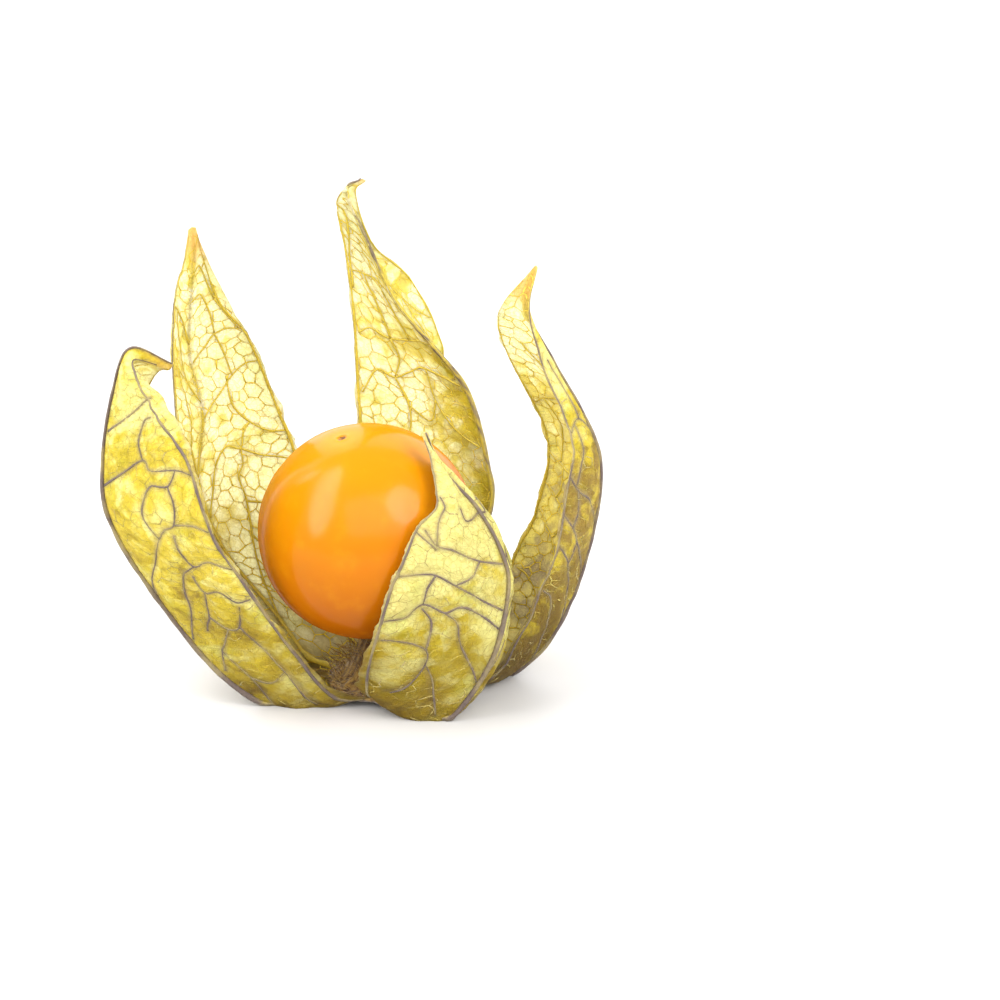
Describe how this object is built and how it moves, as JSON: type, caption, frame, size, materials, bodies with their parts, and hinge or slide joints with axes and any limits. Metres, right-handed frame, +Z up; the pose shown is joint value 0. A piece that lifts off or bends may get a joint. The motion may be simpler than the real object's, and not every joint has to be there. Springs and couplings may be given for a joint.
{
  "type": "physalis berry",
  "caption": "Physalis berry (cape gooseberry) standing upright in its own dry papery husk, which is torn open into five pointed lobes round the glossy orange fruit",
  "frame": {"origin": "on the surface the fruit stands on, under the middle of its bounding box", "axes": "+Z up, the front of the fruit faces -Y, +X to the right seen from the front"},
  "size_m": [0.0425, 0.0277, 0.0439],
  "materials": {
    "berry_skin": "gloss",
    "dry_husk": "matte",
    "husk_base_tissue": "matte",
    "stalk": "matte"
  },
  "bodies": {
    "root": {"berry": "berry_skin", "husk_base": "husk_base_tissue", "stalk_stub": "stalk", "husk_lobe_left": "dry_husk", "husk_lobe_front": "dry_husk", "husk_lobe_right": "dry_husk", "husk_lobe_back": "dry_husk", "husk_lobe_back_left": "dry_husk"}
  },
  "joints": []
}
